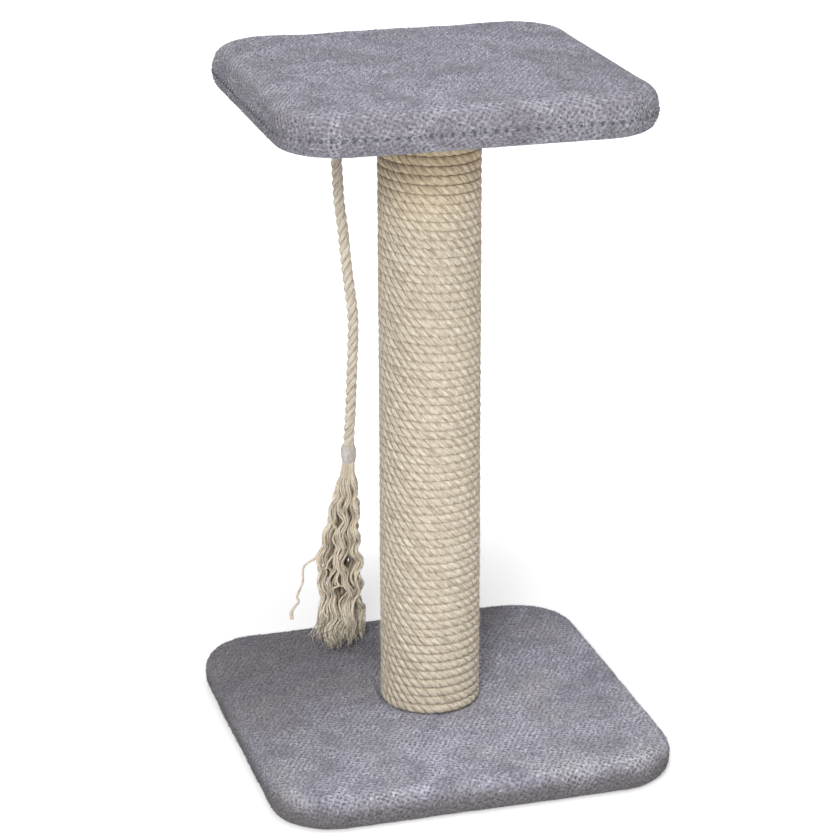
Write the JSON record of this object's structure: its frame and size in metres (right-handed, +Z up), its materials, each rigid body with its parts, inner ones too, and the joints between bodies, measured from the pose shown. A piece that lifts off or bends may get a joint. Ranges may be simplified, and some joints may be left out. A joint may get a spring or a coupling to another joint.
{
  "type": "cat scratching post",
  "caption": "Square plush-covered base and padded top platform joined by a round post wound with sisal rope, with a rope and tassel toy hanging under the platform.",
  "frame": {"origin": "middle of the base's underside, on the floor", "axes": "+Z up along the post, +X to the right and +Y to the back as seen from the side that the picture shows square-on at the base's front edge"},
  "size_m": [0.366, 0.366, 0.6225],
  "materials": {
    "plush": "short-pile plush",
    "sisal": "fibrous laid rope",
    "board": "raw particle board",
    "cardboard": "matte",
    "foam": "open-cell foam",
    "steel": "zinc plated",
    "collar": "translucent binding"
  },
  "bodies": {
    "post": {"base_board": "board", "base_cover": "plush", "hem_staple_01": "steel", "hem_staple_02": "steel", "hem_staple_03": "steel", "hem_staple_04": "steel", "hem_staple_05": "steel", "hem_staple_06": "steel", "hem_staple_07": "steel", "hem_staple_08": "steel", "hem_staple_09": "steel", "hem_staple_10": "steel", "hem_staple_11": "steel", "hem_staple_12": "steel", "base_bolt_washer": "steel", "base_bolt": "steel", "post_tube": "cardboard", "post_lower_plug": "board", "post_nut": "steel", "post_upper_plug": "board", "post_stud": "steel", "sisal_winding_lower": "sisal", "sisal_winding_middle": "sisal", "sisal_winding_upper": "sisal", "winding_start_staple": "steel", "winding_end_staple": "steel", "platform_board": "board", "platform_nut": "steel", "platform_pad": "foam", "platform_cover_top": "plush", "platform_cover_under": "plush", "toy_knot": "sisal"},
    "toy_neck": {"toy_rope_neck": "sisal"},
    "toy": {"toy_rope": "sisal", "toy_collar": "collar", "toy_tassel": "sisal"}
  },
  "joints": [
    {"name": "toy_swing_side", "type": "hinge", "parent": "post", "child": "toy_neck", "pos_m": [-0.055, 0.125, 0.5816], "axis": [-0.4027, 0.9153, 0], "range_deg": [-45, 45]},
    {"name": "toy_swing_in_out", "type": "hinge", "parent": "toy_neck", "child": "toy", "pos_m": [-0.055, 0.125, 0.5566], "axis": [0.9153, 0.4027, 0], "range_deg": [-6.5, 45]}
  ]
}
